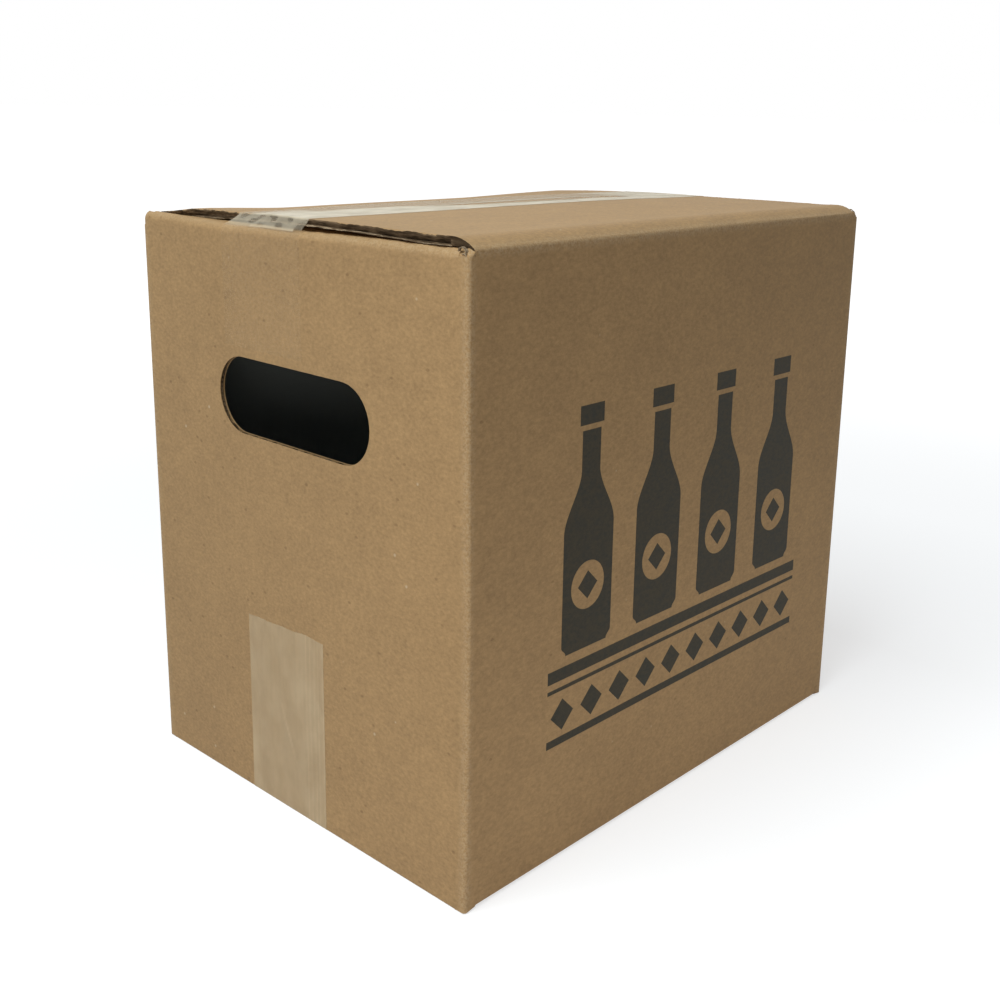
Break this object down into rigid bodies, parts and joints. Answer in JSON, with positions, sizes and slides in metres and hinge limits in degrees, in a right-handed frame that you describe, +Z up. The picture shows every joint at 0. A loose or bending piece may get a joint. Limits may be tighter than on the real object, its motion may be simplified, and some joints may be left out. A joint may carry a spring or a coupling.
{
  "type": "corrugated shipping box",
  "caption": "Closed slotted box of corrugated board with a round-ended hand hole in each end panel, long flaps over end flaps, and clear tape along its top and bottom seams.",
  "frame": {"origin": "centre of the footprint, on the surface the box stands on", "axes": "+Z up, X along the long panels, Y across the end panels; the printed long panel faces -Y"},
  "size_m": [0.2472, 0.19, 0.2399],
  "materials": {
    "kraft_board": "uncoated brown kraft liner",
    "clear_tape": "clear film, slightly wrinkled"
  },
  "bodies": {
    "root": {"carton": "kraft_board", "top_tape": "clear_tape", "bottom_tape": "clear_tape"}
  },
  "joints": []
}
